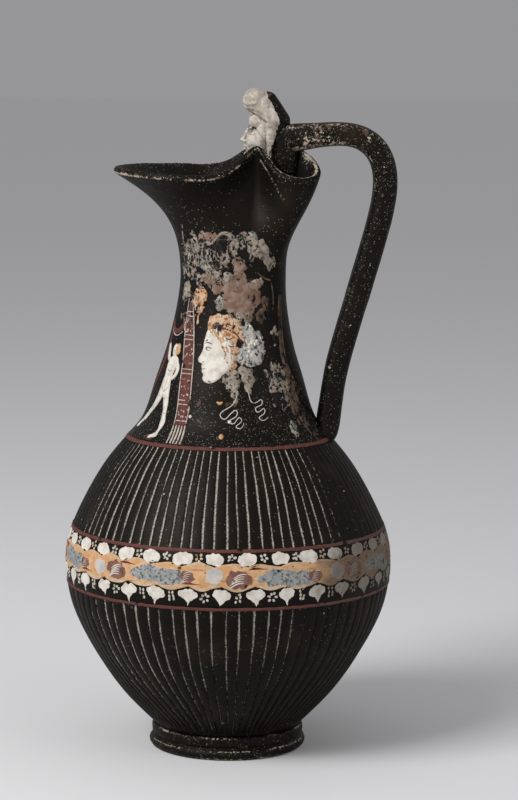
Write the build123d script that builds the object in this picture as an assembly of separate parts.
from build123d import *
from math import cos, hypot, pi, radians, sin
import os

os.makedirs("parts", exist_ok=True)

# Foot ring: sizes in millimetres, heights measured from the table
foot_height = 12.6
foot_bead_radius = 43.8
foot_bead_height = 6.0
foot_bead_round = 1.8
foot_groove_radius = 41.6
foot_step_radius = 42.4
foot_step_rise = 1.4
foot_hollow_radius = 33.0

# Body
body_foot_radius = 40.2
body_radius = 90.4
belly_height = 102.5
body_joint_height = 94.3
band_top_height = 125.1
neck_joint_height = 174.6
neck_joint_radius = 56.5
neck_joint_width = 5.8
neck_joint_bevel = 0.5
wall = 4.5

# Ribs of the body
lower_rib_count = 76
upper_rib_count = 88
lower_rib_relief = 0.074
upper_rib_relief = 0.07
rib_recess = 0.3
rib_margin = 1.6

# Neck
neck_radius = 29.0
neck_waist_height = 262.0
neck_lean = 1.9

# Lip of the mouth, seen from above with the spout towards -X
lip_thickness = 4.0
spout_reach = 62.0
spout_half_width = 34.0
pinch_reach = 15.0
pinch_half_gap = 14.5
lobe_reach = 47.0
lobe_half_width = 30.0
lip_back_reach = 39.0

# Heights of the lip
spout_tip_height = 321.0
spout_side_height = 317.5
pinch_height = 333.0
lobe_height = 316.5
far_side_rise = 4.0

# Handle: a strap with bevelled edges that rises from the lip, bows out and comes down to the neck joint
handle_width = 21.0
handle_thickness = 13.4
handle_bevel = 3.6
handle_top_height = 341.2
handle_bow_reach = 84.9
handle_bow_drop = 29.2
handle_lip_drop = 10.7
handle_root_inset = 3.0
handle_root_drop = 1.6
handle_root_spread = 1.4

# Head at the back of the mouth: reach and rise are measured along the tilted head from its centre
head_reach = 19.0
head_drop = 2.4
head_tilt = 10.0
head_half_width = 9.8
head_depth = 24.0
face_height = 25.0
nose_length = 3.4
nose_width = 3.4
hair_knot_radius = 7.9
hair_knot_reach = 7.9
hair_knot_rise = 18.0
hair_bun_radius = 4.5
ear_reach = -3.0
ear_rise = 9.0
lock_length = 18.0
lock_width = 7.0
neck_stub_depth = 23.0
neck_stub_drop = 15.5
head_split_tilt = 16.0
head_split_back = 5.0

lip_back_height = handle_top_height - handle_lip_drop
handle_root_reach = neck_joint_radius - handle_root_inset
handle_root_height = neck_joint_height - handle_root_drop
head_height = handle_top_height - head_drop


def turned(edges):
    """Solid of revolution of a closed outline in the XZ plane."""
    return revolve(make_face(edges), axis=Axis.Z)


def between(start, end, share):
    """Value a share of the way from one value to another."""
    return start + (end - start) * share


def largest(part):
    """The main solid left after a trim."""
    return max(part.solids(), key=lambda solid: solid.volume)


# Foot ring
bead_foot = (foot_bead_radius - foot_bead_round, 0, 0)
bead_out = (foot_bead_radius, 0, foot_bead_height / 2)
groove = (foot_groove_radius, 0, foot_bead_height)
step_low = (foot_step_radius, 0, foot_bead_height + foot_step_rise)
step_top = (foot_step_radius, 0, foot_height)
foot_ring = turned([
    Line((foot_hollow_radius, 0, 0), bead_foot),
    ThreePointArc(bead_foot, bead_out, groove),
    Line(groove, step_low),
    Line(step_low, step_top),
    Line(step_top, (foot_hollow_radius, 0, foot_height)),
    Line((foot_hollow_radius, 0, foot_height), (foot_hollow_radius, 0, 0)),
])

# Outer line of the body: each pair is a share of the way up and a share of the way out or in
lower_shares = [(0.196, 0.347), (0.497, 0.715), (0.75, 0.93)]
upper_shares = [(0.255, 0.065), (0.444, 0.224), (0.634, 0.434), (0.822, 0.69)]


def shared_points(start, end, shares):
    """Points of an outline between two ends, from shares of the height and of the radius."""
    points = [Vector(start)]
    for up, out in shares:
        points.append(Vector(between(start[0], end[0], out), 0, between(start[2], end[2], up)))
    points.append(Vector(end))
    return points


body_foot = (body_foot_radius, 0, foot_height)
belly = (body_radius, 0, belly_height)
neck_joint = (neck_joint_radius, 0, neck_joint_height)
lower_line = Spline(*shared_points(body_foot, belly, lower_shares), tangents=[(0.72, 0, 0.69), (0, 0, 1)])
upper_line = Spline(*shared_points(belly, neck_joint, upper_shares), tangents=[(0, 0, 1), (-0.64, 0, 0.77)])


def radius_at(height):
    """Radius of the body's outer line at a height, found by halving."""
    line = lower_line if height < belly_height else upper_line
    low, high = 0.0, 1.0
    for _ in range(40):
        middle = (low + high) / 2
        if (line @ middle).Z < height:
            low = middle
        else:
            high = middle
    return (line @ low).X


def inner_point(line, share):
    """Point one wall thickness inside the body's outer line."""
    point = line @ share
    along = line % share
    return point + Vector(-along.Z, 0, along.X) * wall


def body_slab(low, high):
    """Smooth solid slice of the body between two heights."""
    tall = high - low
    slice_tool = Pos(0, 0, low + tall / 2) * Cylinder(body_radius * 1.2, tall)
    return smooth_body & slice_tool


def ribbed_slab(low, high, count, relief):
    """Solid slice of the body whose side is a ring of rounded upright ribs."""
    rings = []
    sections = 7
    for index in range(sections):
        height = between(low, high, index / (sections - 1))
        crest = radius_at(height) - rib_recess
        valley = crest - relief * 2 * pi * crest / count
        half_step = pi / count
        ribs = []
        for rib in range(count):
            centre = 2 * half_step * rib
            start, end = centre - half_step, centre + half_step
            ribs.append(ThreePointArc(
                (valley * cos(start), valley * sin(start), height),
                (crest * cos(centre), crest * sin(centre), height),
                (valley * cos(end), valley * sin(end), height),
            ))
        rings.append(Wire(ribs))
    return Solid.make_loft(rings)


# Body: smooth outside, then its cavity
smooth_body = turned([
    lower_line,
    upper_line,
    Line(neck_joint, (0, 0, neck_joint_height)),
    Line((0, 0, neck_joint_height), (0, 0, foot_height)),
    Line((0, 0, foot_height), body_foot),
])
inner_points = [inner_point(lower_line, share) for share in (0.0, 0.28, 0.62)]
inner_points += [inner_point(upper_line, share) for share in (0.0, 0.3, 0.65)]
cavity_top = Vector(neck_joint_radius - neck_joint_width, 0, neck_joint_height)
floor_centre = Vector(0, 0, inner_points[0].Z)
cavity = turned(Polyline(floor_centre, *inner_points, cavity_top, (0, 0, neck_joint_height), close=True))

lower_body = ribbed_slab(foot_height, body_joint_height, lower_rib_count, lower_rib_relief) - cavity

upper_ribs_low = band_top_height + rib_margin
upper_ribs_high = neck_joint_height - rib_margin
shoulder = body_slab(body_joint_height, upper_ribs_low)
shoulder += ribbed_slab(upper_ribs_low, upper_ribs_high, upper_rib_count, upper_rib_relief)
shoulder += body_slab(upper_ribs_high, neck_joint_height)
shoulder -= cavity

# Lip of the mouth: half the outline from the spout's tip round to the handle: x, y, height, flare in degrees
half_lip = [
    (-spout_reach, 0, spout_tip_height, 30),
    (-spout_reach * 0.8, -spout_half_width * 0.66, between(spout_tip_height, spout_side_height, 0.5), 32),
    (-spout_reach * 0.36, -spout_half_width, spout_side_height, 40),
    (0, -spout_half_width * 0.8, between(spout_side_height, pinch_height, 0.26), 55),
    (pinch_reach, -pinch_half_gap, pinch_height, 80),
    (pinch_reach * 1.65, -lobe_half_width * 0.86, between(lobe_height, pinch_height, 0.3), 76),
    (lobe_reach * 0.81, -lobe_half_width, lobe_height, 74),
    (lobe_reach, -lobe_half_width * 0.62, between(lobe_height, lip_back_height, 0.2), 74),
    (lobe_reach * 0.93, -lobe_half_width * 0.25, between(lobe_height, lip_back_height, 0.75), 78),
    (lip_back_reach, 0, lip_back_height, 82),
]


def far_side(x, y, height, flare):
    """Point of the lip's far half, which stands higher along the spout."""
    rise = far_side_rise * y / spout_half_width if x < pinch_reach else 0
    return (x, -y, height - rise, flare)


lip = half_lip + [far_side(*point) for point in half_lip[-2:0:-1]]
lip_count = len(lip)


def lip_normal(index):
    """Outward direction of the lip seen from above."""
    before = lip[index - 1]
    after = lip[(index + 1) % lip_count]
    run = Vector(after[0] - before[0], after[1] - before[1], 0).normalized()
    return Vector(run.Y, -run.X, 0)


def lip_angles():
    """Angle round the neck for each point of the lip, shared out by the lip's length."""
    travelled = [0.0]
    for here, there in zip(lip, lip[1:] + lip[:1]):
        travelled.append(travelled[-1] + hypot(there[0] - here[0], there[1] - here[1]))
    return [pi + 2 * pi * length / travelled[-1] for length in travelled[:-1]]


angles = lip_angles()


def mouth_ring(share, side):
    """Ring of the mouth's wall: side is 1 outside, -1 inside and 0 on the crest of the lip."""
    points = []
    for index, (x, y, height, flare) in enumerate(lip):
        normal = lip_normal(index)
        slope = radians(flare)
        along = normal * cos(slope) + Vector(0, 0, sin(slope))
        across = normal * sin(slope) - Vector(0, 0, cos(slope))
        rise = (height - neck_waist_height) * 0.42
        edge = Vector(x, y, height) + across * (side * lip_thickness / 2)
        if side == 0:
            points.append(edge + along * (lip_thickness / 2))
            continue
        radius = neck_radius if side > 0 else neck_radius - wall
        start = Vector(neck_lean + radius * cos(angles[index]), radius * sin(angles[index]), neck_waist_height)
        lift = start + Vector(0, 0, rise)
        reach = edge - along * rise
        left = 1 - share
        point = start * left**3 + lift * (3 * left**2 * share) + reach * (3 * left * share**2) + edge * share**3
        points.append(point)
    return Wire([Spline(*points, periodic=True)])


neck_shares = [(0.1, 0.272), (0.2, 0.418), (0.36, 0.565), (0.52, 0.735), (0.71, 0.884), (0.86, 0.965)]
neck_top = (neck_radius, 0, neck_waist_height)
neck_points = shared_points(neck_joint, neck_top, neck_shares)


def neck_ring(point, inside):
    """Round ring of the neck's wall through a point of its outer line."""
    left = (neck_waist_height - point.Z) / (neck_waist_height - neck_joint_height)
    thickness = wall + (neck_joint_width - wall) * left**2 if inside else 0
    radius = point.X - thickness
    lean = neck_lean * (1 - left)**2
    return Wire([Spline(*[(lean + radius * cos(a), radius * sin(a), point.Z) for a in angles], periodic=True)])


# Neck and mouth: outer skin, lip, inner skin and the seat on the shoulder
mouth_steps = [0.0, 0.16, 0.33, 0.5, 0.66, 0.82, 0.93, 1.0]
bevel_top = neck_points[0] + Vector(0, 0, neck_joint_bevel)
outer_rings = [neck_ring(point, False) for point in [bevel_top] + neck_points[1:-1]]
outer_rings += [mouth_ring(step, 1) for step in mouth_steps]
inner_rings = [neck_ring(point, True) for point in neck_points[:-1]]
inner_rings += [mouth_ring(step, -1) for step in mouth_steps]
lip_rings = [outer_rings[-1], mouth_ring(1.0, 0), inner_rings[-1]]
seat_point = neck_points[0] - Vector(neck_joint_bevel, 0, 0)
seat_ring = neck_ring(seat_point, False)
skins = Shell.make_loft([seat_ring, outer_rings[0]], ruled=True).faces()
skins += Shell.make_loft(outer_rings).faces()
skins += Shell.make_loft(lip_rings, ruled=True).faces()
skins += Shell.make_loft(inner_rings).faces()
skins += [Face(seat_ring, [inner_rings[0]])]
neck_and_mouth = Solid(Shell(skins))

# Head: local x is towards the face and local z is up, and the whole leans back by the tilt
head_place = Pos(head_reach, 0, head_height) * Rot(0, head_tilt, 0) * Rot(0, 0, 180)


def oval(x, y, z, half_depth, half_width, sides):
    """Corners of a level many-sided outline."""
    turns = [2 * pi * (side + 0.5) / sides for side in range(sides)]
    return [Vector(x + half_depth * cos(turn), y + half_width * sin(turn), z) for turn in turns]


def flat_face(*corners):
    """Flat face through its corners."""
    return Face(Wire.make_polygon(corners))


def faceted(rings):
    """Solid with flat facets through a stack of outlines."""
    faces = [flat_face(*rings[0]), flat_face(*rings[-1])]
    for low, high in zip(rings, rings[1:]):
        for here in range(len(low)):
            before = here - 1
            faces.append(flat_face(low[before], low[here], high[here]))
            faces.append(flat_face(low[before], high[here], high[before]))
    return Solid(Shell(faces))


def pebble(x, y, z, half_depth, half_width, half_height):
    """Faceted rounded form given by its centre and half sizes."""
    rings = []
    for latitude in (-80, -48, -16, 16, 48, 80):
        tall = sin(radians(latitude))
        wide = cos(radians(latitude))
        rings.append(oval(x, y, z + half_height * tall, half_depth * wide, half_width * wide, 12))
    return faceted(rings)


# Rows up the head: rise, centre, half depth and half width as shares of the face's height, depth and width
head_rows = [
    (-0.54, 0.25, 0.10, 0.30),
    (-0.46, 0.22, 0.21, 0.53),
    (-0.28, 0.125, 0.32, 0.76),
    (-0.08, 0.05, 0.40, 0.88),
    (0.12, 0.0, 0.46, 0.95),
    (0.36, -0.04, 0.49, 1.0),
    (0.56, -0.06, 0.47, 0.97),
    (0.76, -0.02, 0.375, 0.84),
    (0.94, 0.06, 0.23, 0.56),
    (1.04, 0.125, 0.06, 0.15),
]
skull_rings = []
for rise, centre, deep, wide in head_rows:
    skull_rings.append(oval(
        head_depth * centre, 0, face_height * rise, head_depth * deep, head_half_width * wide, 14,
    ))
skull = faceted(skull_rings)

nose_front = head_depth * 0.45
nose_top = (nose_front, 0, face_height * 0.2)
nose_tip = (nose_front + nose_length, 0, -face_height * 0.14)
nose_foot = (nose_front - nose_length, 0, -face_height * 0.18)
nose_outline = make_face(Polyline(nose_top, nose_tip, nose_foot, close=True))
nose = extrude(nose_outline, amount=nose_width / 2, dir=(0, 1, 0), both=True)

# Hair: a full knot over the brow, and at each side a roll, a bun at the ear and a pointed lock
ear_side = head_half_width * 0.86
knot = pebble(hair_knot_reach, 0, hair_knot_rise, hair_knot_radius, hair_knot_radius * 1.15, hair_knot_radius)
roll_reach = between(hair_knot_reach, ear_reach, 0.5)
roll_rise = between(hair_knot_rise, ear_rise, 0.5)
roll = pebble(roll_reach, ear_side * 0.8, roll_rise, hair_knot_radius, hair_bun_radius, hair_bun_radius * 1.2)
bun = pebble(ear_reach, ear_side, ear_rise, hair_bun_radius, hair_bun_radius * 0.75, hair_bun_radius)
lock_top = ear_rise - hair_bun_radius / 2
lock = faceted([
    oval(ear_reach + 1, ear_side, lock_top, lock_width / 2, lock_width * 0.35, 8),
    oval(ear_reach + 0.5, ear_side, lock_top - lock_length * 0.4, lock_width / 2, lock_width * 0.3, 8),
    oval(ear_reach, ear_side, lock_top - lock_length, lock_width * 0.08, lock_width * 0.06, 8),
])
side_hair = roll + bun + lock
whole_head = skull + nose + knot + side_hair + mirror(side_hair, about=Plane.XZ)

# Head in its mould-made front and hand-shaped back, whose deep neck stub fills the back of the mouth
stub_half_width = head_half_width * 0.75
neck_stub = faceted([
    oval(-neck_stub_depth * 0.42, 0, 0, neck_stub_depth * 0.5, stub_half_width, 12),
    oval(-neck_stub_depth * 0.58, 0, -neck_stub_drop, neck_stub_depth * 0.42, stub_half_width, 12),
])
room_size = face_height * 5
front_room = Pos(room_size / 2, 0, 0) * Box(room_size, room_size, room_size)
front_room = Pos(-head_split_back, 0, 0) * Rot(0, head_split_tilt, 0) * front_room
head_front = head_place * largest(whole_head & front_room)
head_back = head_place * largest((whole_head + neck_stub) - front_room)
head_front = largest(head_front - neck_and_mouth)
head_back = largest(head_back - neck_and_mouth)

# Handle: rows of a centre line, each with shares of the way out and down and of the strap's width and thickness
handle_start = head_reach + head_depth / 2
bow_rows = [
    (0.0, 0.09, 0.8, 1.2),
    (0.26, 0.03, 0.92, 1.0),
    (0.527, 0.0, 1.0, 0.96),
    (0.748, 0.07, 1.05, 0.98),
    (0.902, 0.28, 1.05, 1.0),
    (0.984, 0.6, 1.05, 1.0),
    (1.0, 1.0, 1.05, 1.0),
]
fall_rows = [
    (0.14, 0.17, 1.0, 1.0),
    (0.389, 0.37, 0.95, 1.0),
    (0.63, 0.56, 0.9, 0.98),
    (0.84, 0.75, 0.9, 0.96),
    (0.924, 0.88, 1.0, 0.98),
    (1.0, 1.0, handle_root_spread, 1.1),
]
bow_height = handle_top_height - handle_bow_drop
handle_rows = []
for out, down, wide, thick in bow_rows:
    x = between(handle_start, handle_bow_reach, out)
    handle_rows.append((x, between(handle_top_height, bow_height, down), wide, thick))
for back, down, wide, thick in fall_rows:
    x = between(handle_bow_reach, handle_root_reach, back)
    handle_rows.append((x, between(bow_height, handle_root_height, down), wide, thick))
handle_path = Spline(*[(x, 0, z) for x, z, _, _ in handle_rows])


def strap_section(plane, wide, thick):
    """Flat strap with bevelled edges, across the plane."""
    side = handle_width * wide / 2
    top = handle_thickness * thick / 2
    flat = side - handle_bevel
    edge = top - handle_bevel
    corner = [(flat, top), (side, edge), (side, -edge), (flat, -top)]
    return plane * make_face(Polyline(*corner, *[(-x, -y) for x, y in corner], close=True))


handle_sections = []
for x, z, wide, thick in handle_rows:
    share = handle_path.param_at_point((x, 0, z))
    plane = Plane((x, 0, z), x_dir=(0, 1, 0), z_dir=handle_path % share)
    handle_sections.append(strap_section(plane, wide, thick))
handle = loft(handle_sections)
for neighbour in (shoulder, neck_and_mouth, head_back, head_front):
    handle = largest(handle - neighbour)

pieces = {
    "foot_ring": foot_ring,
    "lower_body": lower_body,
    "shoulder": shoulder,
    "neck_and_mouth": neck_and_mouth,
    "handle": handle,
    "head_front": head_front,
    "head_back": head_back,
}
for name, piece in pieces.items():
    export_step(piece, f"parts/{name}.step")
    print(name, round(piece.volume), piece.bounding_box())
